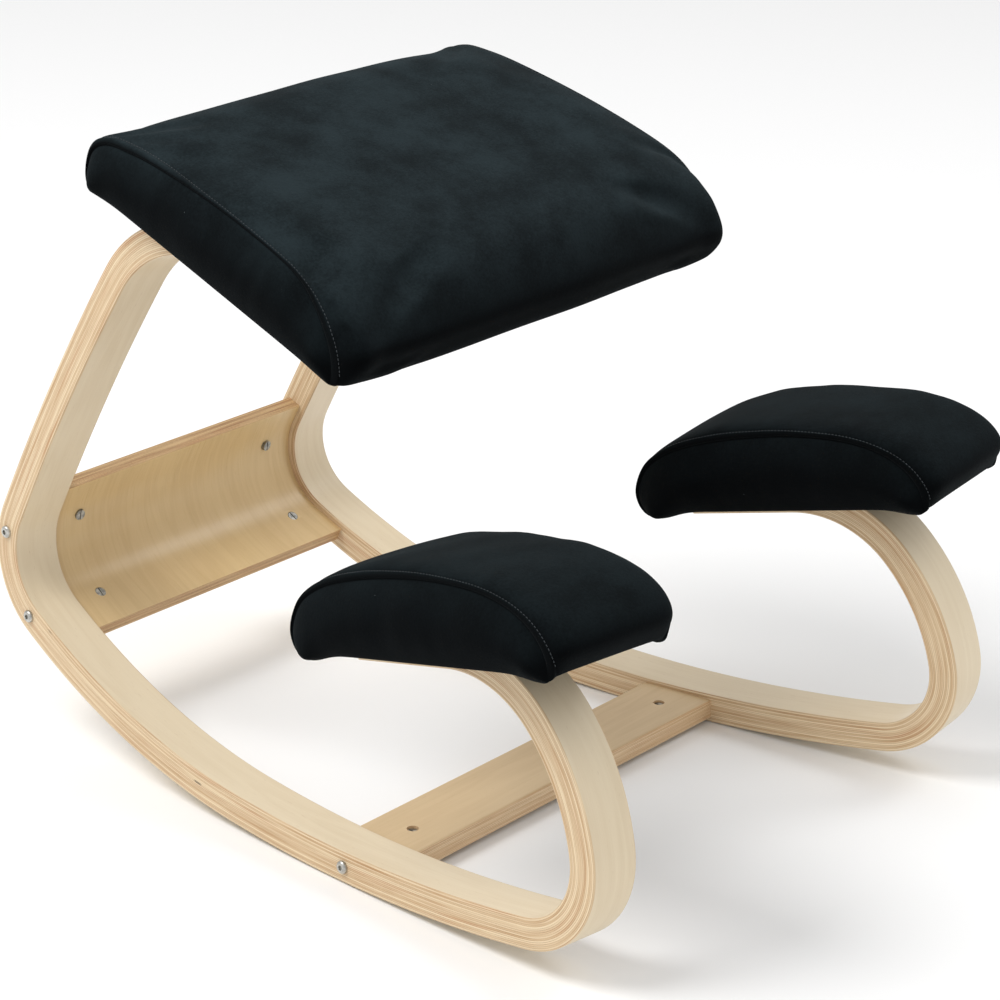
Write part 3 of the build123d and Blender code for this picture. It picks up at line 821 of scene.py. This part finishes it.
def top_panel(c):
    """Rows of (point, looseness) across the top panel, from the rear bottom over to the front bottom."""
    rows = []
    count = ceil((c.half_width(c.seam[0].x) - BESIDE_SEAM[-1]) / TOP_PITCH)
    for step, (edge, middle, outward) in enumerate(zip(c.seam, c.crown, outward_directions(c.seam))):
        width = c.seam_width(edge, step)
        inner = width - BESIDE_SEAM[-1]
        squeeze = min(1.0, SLIM_GAP / (middle - edge).length) ** 2
        from_seam = list(BESIDE_SEAM) + [width - inner * (1 - part / count) for part in range(1, count + 1)]
        half_row = []
        for distance in from_seam:
            inset = distance * squeeze ** max(0.0, 1 - distance / BESIDE_SEAM[-1])
            across = width - inset
            share = ROLL_SHARE * rolled(inset, c.reach) + (1 - ROLL_SHARE) * (1 - (across / width) ** 2)
            tuck = LIP_HEIGHT * bell(distance, LIP_MIDDLE, LIP_WIDTH)
            tuck -= STITCH_VALLEY * bell(distance, STITCH_COLUMN, STITCH_WIDTH)
            flat = edge.lerp(middle, share) + outward * tuck
            half_row.append((Vector((flat.x, flat.y, across)), loose_share(distance)))
        other = [(Vector((p.x, p.y, -p.z)), loose) for p, loose in half_row]
        rows.append(other[:-1] + half_row[::-1])
    return rows


def side_panel(c, top, side):
    """Rows of (point, looseness) down one side panel, from rear to front."""
    rows = []
    for step, row in enumerate(top):
        seam_point = row[0][0] if side < 0 else row[-1][0]
        edge = c.seam[step]
        share = step / SEAM_STEPS
        foot = Vector((c.seam[0].x + (c.seam[-1].x - c.seam[0].x) * share, c.lower_edge(share)))
        drop = (edge - foot).length
        at_tip = step in (0, SEAM_STEPS)
        thin = min(1.0, drop / FULL_DROP)
        near = [distance * thin for distance in BELOW_SEAM]
        last = near[-1]
        downs = near + [last + (drop - last) * part / SIDE_STEPS for part in range(1, SIDE_STEPS + 1)]
        panel = []
        for down in downs:
            if down == 0 or at_tip:
                panel.append((seam_point, 0.0))
                continue
            part = min(down / drop, 1.0)
            flat = edge.lerp(foot, part)
            width = c.half_width(flat.x) - c.inset * c.rise(edge) * (1 - part) ** 1.5
            width += c.belly * thin * sin(pi * part ** 1.2)
            width -= GROOVE_DEPTH * thin ** 2 * exp(-down / GROOVE_FADE) + c.drawn_in(step)
            loose = loose_share(min(down, drop - down)) * thin
            panel.append((Vector((flat.x, flat.y, side * width)), loose))
        rows.append(panel)
    return rows


def lower_loop(top, sides):
    """Points of the lower edge, once round."""
    right = [row[-1][0] for row in sides[1]]
    left = [row[-1][0] for row in sides[-1]]
    rear = [point for point, loose in top[0]]
    front = [point for point, loose in top[-1]]
    return rear + right[1:] + front[::-1][1:] + left[::-1][1:-1]


def clamped(value, low, high):
    return max(low, min(high, value))


def underside(c, loop):
    """Rings from the lower edge into the hollow underneath, and a little way over its flat ceiling."""
    rear, front, margin = c.hollow
    rings = []
    for share, dip, lift in UNDERSIDE_STEPS:
        ring = []
        for point in loop:
            reach = c.half_width(point.x) - margin
            goal = Vector((clamped(point.x, rear, front), 0, clamped(point.z, -reach, reach)))
            moved = point.lerp(goal, share)
            moved.y = point.y - dip + (CEILING - point.y) * (1.0 if lift == 1 else lift * c.hem_rise)
            ring.append((moved, 0.0))
        rings.append(ring + ring[:1])
    middle = (rear + front) / 2
    inner = []
    for point, loose in rings[-1]:
        spot = Vector((middle + (point.x - middle) * CEILING_RING, CEILING, point.z * CEILING_RING))
        inner.append((spot, loose))
    return rings + [inner]


def build_cushion(c, name):
    """Closed, crowned form of a cushion, the vertices its stitches follow, and each vertex's looseness."""
    bm = bmesh.new()
    known = {}
    looseness = []

    def vertex(point, loose):
        key = tuple(round(value, 7) for value in point)
        if key not in known:
            known[key] = bm.verts.new(c.place.at(*point))
            looseness.append(loose)
        return known[key]

    def lay(rows):
        made = [[vertex(point, loose) for point, loose in row] for row in rows]
        for low, high in zip(made, made[1:]):
            for corners in zip(low, low[1:], high[1:], high):
                corners = list(dict.fromkeys(corners))
                if len(corners) > 2:
                    bm.faces.new(corners)
        return made

    top = top_panel(c)
    sides = {side: side_panel(c, top, side) for side in (-1, 1)}
    lay(top)
    for panel in sides.values():
        lay(panel)
    rings = lay(underside(c, lower_loop(top, sides)))
    ceiling = bm.faces.new(list(dict.fromkeys(rings[-1])))
    bmesh.ops.triangulate(bm, faces=[ceiling])
    bm.verts.index_update()
    columns = (BESIDE_SEAM.index(STITCH_COLUMN), -1 - BESIDE_SEAM.index(STITCH_COLUMN))
    stitch_lines = [[vertex(*row[column]).index for row in top[2:-2]] for column in columns]
    return new_object(name, bm), stitch_lines, looseness


PRESSURE = 3.0
CLOTH_MASS = 0.25
CLOTH_QUALITY = 5
CLOTH_FRAMES = 20
HELD_UNDER = 0.05             # looseness below which a vertex is held still


def swell(obj, looseness, cap):
    """Cloth simulation: the panels swell between the seams, by no more than cap."""
    held = obj.vertex_groups.new(name="held")
    held.add([index for index, loose in enumerate(looseness) if loose < HELD_UNDER], 1.0, "REPLACE")
    cloth = obj.modifiers.new("swell", "CLOTH")
    cloth.settings.quality = CLOTH_QUALITY
    cloth.settings.mass = CLOTH_MASS
    cloth.settings.use_pressure = True
    cloth.settings.uniform_pressure_force = PRESSURE
    cloth.settings.effector_weights.gravity = 0.0
    cloth.settings.vertex_group_mass = "held"
    cloth.point_cache.frame_start = 1
    cloth.point_cache.frame_end = CLOTH_FRAMES
    scene = bpy.context.scene
    for step in range(1, CLOTH_FRAMES + 1):
        scene.frame_set(step)
    graph = bpy.context.evaluated_depsgraph_get()
    grown = [vert.co.copy() for vert in obj.evaluated_get(graph).data.vertices]
    obj.modifiers.remove(cloth)
    obj.vertex_groups.remove(held)
    scene.frame_set(1)
    for vert, target, loose in zip(obj.data.vertices, grown, looseness):
        move = target - vert.co
        if move.length > cap:
            move = move.normalized() * cap
        vert.co = vert.co + move * loose


RUFFLE_DEPTH = 0.0015
FOLD_REACH = 0.035            # how far the folds run in from a seam


def ruffle(obj, c, looseness):
    """Shallow dents all over, and folds that run in from the seams."""
    normals = [vert.normal.copy() for vert in obj.data.vertices]
    for vert, normal, loose in zip(obj.data.vertices, normals, looseness):
        offset = vert.co - c.place.origin
        along = offset.dot(c.place.forward)
        across = offset.dot(c.place.side)
        up = offset.dot(c.place.up)
        from_side = c.half_width(along) - abs(across)
        near_seam = exp(-max(from_side, 0.0) / FOLD_REACH)
        dent = noise.noise(Vector((along * 11 + 5.1, across * 11, up * 11)))
        fold = noise.noise(Vector((along * 30 + across * 16, across * 9, up * 12 + 3.7)))
        crease = noise.noise(Vector((along * 70 - across * 40, across * 22, up * 25 + 1.9)))
        amount = 0.6 * dent + fold * (0.25 + 0.6 * near_seam) + crease * 0.4 * near_seam
        vert.co = vert.co + normal * amount * RUFFLE_DEPTH * loose


STITCH_LENGTH = 0.0023
STITCH_PITCH = 0.0032
STITCH_RADIUS = 0.00034
STITCH_STEPS = 4
STITCH_SIDES = 6


def add_stitch(bm, start, end, normal):
    """One short stitch, its ends drawn into the cloth."""
    beside = (end - start).cross(normal).normalized()
    rings = []
    for step in range(STITCH_STEPS + 1):
        arch = sin(pi * step / STITCH_STEPS)
        middle = start.lerp(end, step / STITCH_STEPS) + normal * STITCH_RADIUS * (1.3 * arch - 0.45)
        radius = STITCH_RADIUS * (0.45 + 0.55 * arch)
        angles = [2 * pi * side / STITCH_SIDES for side in range(STITCH_SIDES)]
        ring = [middle + (beside * cos(angle) + normal * sin(angle)) * radius for angle in angles]
        rings.append([bm.verts.new(point) for point in ring])
    for low, high in zip(rings, rings[1:]):
        for side in range(STITCH_SIDES):
            bm.faces.new((low[side], low[side - 1], high[side - 1], high[side]))
    bm.faces.new(rings[0])
    bm.faces.new(rings[-1])


def topstitch(obj, stitch_lines, name):
    """A row of stitches on the top panel beside each seam."""
    graph = bpy.context.evaluated_depsgraph_get()
    cloth = BVHTree.FromObject(obj, graph)
    bm = bmesh.new()
    for line in stitch_lines:
        places = [obj.data.vertices[index].co.copy() for index in line]
        length = sum((after - here).length for here, after in zip(places, places[1:]))
        even = evenly(places, int(length / STITCH_PITCH))
        for here, after in zip(even, even[1:]):
            spot, normal, _, _ = cloth.find_nearest((here + after) / 2)
            half = (after - here).normalized() * STITCH_LENGTH / 2
            add_stitch(bm, spot - half, spot + half, normal)
    return new_object(name, bm)


def sewn_cushion(c, name, cap):
    """The finished cushion and its topstitching."""
    obj, stitch_lines, looseness = build_cushion(c, name)
    swell(obj, looseness, cap)
    ruffle(obj, c, looseness)
    soften = obj.modifiers.new("soften", "SUBSURF")
    soften.levels = 1
    soften.render_levels = 1
    apply_modifiers(obj)
    return obj, topstitch(obj, stitch_lines, name + "_topstitch")


def seat_half_width(along):
    """The seat widens toward the front."""
    share = (along + SEAT_BEHIND) / (SEAT_AHEAD + SEAT_BEHIND)
    return SEAT_HALF_REAR + share * (SEAT_HALF_FRONT - SEAT_HALF_REAR)


def make_seat():
    seam = [(-0.265, -0.029), (-0.274, -0.021), (-0.277, -0.003), (-0.272, 0.009), (-0.259, 0.018),
            (-0.240, 0.023), (-0.210, 0.029), (-0.153, 0.035), (-0.094, 0.037), (-0.040, 0.034),
            (-0.010, 0.021), (0.012, 0.002), (0.022, -0.015), (0.024, -0.029)]
    crown = [(-0.265, -0.027), (-0.277, -0.018), (-0.281, 0.002), (-0.276, 0.016), (-0.261, 0.026),
             (-0.240, 0.032), (-0.210, 0.036), (-0.150, 0.040), (-0.090, 0.042), (-0.022, 0.041),
             (0.022, 0.032), (0.045, 0.015), (0.052, -0.003), (0.037, -0.025)]
    c = Cushion(SEAT, seam, crown, seat_half_width, inset=0.002, reach=0.015, belly=0.006,
                tip_in=0.003, tip_share=0.06, low=(-0.028, -0.0255, -0.029), lip=0.07,
                hollow=(-0.2605, 0.0012, 0.0135), hem_rise=0.02)
    obj, stitches = sewn_cushion(c, "seat_cushion", 0.006)
    finish_piece(obj, "black_cloth", [SEAT_CLOTH], "seat_cover", "seat_foam")
    finish_piece(stitches, "black_cloth", [THREAD])


def make_knee_rests():
    seam = [(-0.004, -0.015), (-0.017, -0.012), (-0.024, -0.001), (-0.023, 0.012), (-0.009, 0.031),
            (0.020, 0.044), (0.060, 0.051), (0.101, 0.054), (0.140, 0.054), (0.180, 0.050),
            (0.208, 0.043), (0.229, 0.033), (0.244, 0.020), (0.252, 0.004), (0.250, -0.015)]
    crown = [(-0.006, -0.012), (-0.019, -0.009), (-0.026, 0.002), (-0.024, 0.017), (-0.009, 0.037),
             (0.021, 0.052), (0.062, 0.062), (0.104, 0.065), (0.145, 0.064), (0.186, 0.060),
             (0.218, 0.053), (0.244, 0.042), (0.264, 0.026), (0.271, 0.007), (0.257, -0.010)]
    c = Cushion(KNEE, seam, crown, lambda along: PAD_HALF_WIDTH, inset=0.003, reach=0.018, belly=0.008,
                tip_in=0.005, tip_share=0.05, low=(-0.015, -0.0095, -0.016), lip=0.08,
                hollow=(-0.004, 0.234, 0.016), hem_rise=1.0)
    right, stitches = sewn_cushion(c, "right_knee_cushion", 0.004)
    left = mirrored(right, "left_knee_cushion")
    left_stitches = mirrored(stitches, "left_knee_cushion_topstitch")
    finish_piece(right, "black_cloth", [KNEE_CLOTH], "right_knee_cover", "right_knee_foam")
    finish_piece(left, "black_cloth", [KNEE_CLOTH], "left_knee_cover", "left_knee_foam")
    for obj in (stitches, left_stitches):
        finish_piece(obj, "black_cloth", [THREAD])


# ------------------------------------------------------------------ the CAD model's own pieces

def dress(names, material):
    """Gives CAD nodes that keep their shape their finished material."""
    for name in names:
        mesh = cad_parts[name].data
        mesh.materials.clear()
        mesh.materials.append(material)


def dress_cad_nodes():
    dress(["front_cross_bar"], BAR_WOOD)
    dress(["seat_board", "seat_rim_strips", "left_knee_board", "right_knee_board"], BOARD_WOOD)
    dress(["cross_bar_dowels"], DOWEL_WOOD)
    dress(["seat_underlining", "left_knee_underlining", "right_knee_underlining"], LINING)
    dress(["rear_panel_bolts", "cross_bar_bolts", "seat_screws", "left_knee_screws", "right_knee_screws",
           "seat_t_nuts", "left_knee_t_nuts", "right_knee_t_nuts"], ZINC)
    dress(["rear_panel_barrel_nuts", "cross_bar_barrel_nuts"], NUT_ZINC)


# ------------------------------------------------------------------ studio

def make_floor():
    bpy.ops.mesh.primitive_plane_add(size=FLOOR_SIZE)
    floor = bpy.context.object
    floor.name = "floor"
    white = (FLOOR_WHITE, FLOOR_WHITE, FLOOR_WHITE, 1.0)
    t = Tree("studio_floor")
    floor.data.materials.append(t.surface(Base_Color=white, Roughness=0.9, Specular_IOR_Level=0.1))


def add_lamp(name, place, size, power):
    """A round soft lamp that points at the chair."""
    data = bpy.data.lights.new(name, "AREA")
    data.shape = "DISK"
    data.size = size
    data.energy = power
    lamp = bpy.data.objects.new(name, data)
    lamp.location = place
    lamp.rotation_euler = (Vector(LAMP_TARGET) - Vector(place)).to_track_quat("-Z", "Y").to_euler()
    bpy.context.scene.collection.objects.link(lamp)


def make_studio():
    make_floor()
    world = bpy.data.worlds.new("studio")
    world.use_nodes = True
    background = world.node_tree.nodes["Background"]
    background.inputs["Color"].default_value = (1, 1, 1, 1)
    background.inputs["Strength"].default_value = WORLD_STRENGTH
    bpy.context.scene.world = world
    for name, (place, size, power) in LAMPS.items():
        add_lamp(name, place, size, power)
    bpy.context.scene.view_settings.view_transform = "Standard"


def make_camera():
    azimuth = radians(CAMERA_AZIMUTH)
    elevation = radians(CAMERA_ELEVATION)
    back = Vector((sin(azimuth) * cos(elevation), -cos(azimuth) * cos(elevation), sin(elevation)))
    data = bpy.data.cameras.new("camera")
    data.lens = LENS
    camera = bpy.data.objects.new("camera", data)
    camera.location = CAMERA_PLACE
    camera.rotation_euler = (-back).to_track_quat("-Z", "Y").to_euler()
    bpy.context.scene.collection.objects.link(camera)
    bpy.context.scene.camera = camera


make_camera()
make_studio()
make_runners()
make_panel()
make_seat()
make_knee_rests()
dress_cad_nodes()
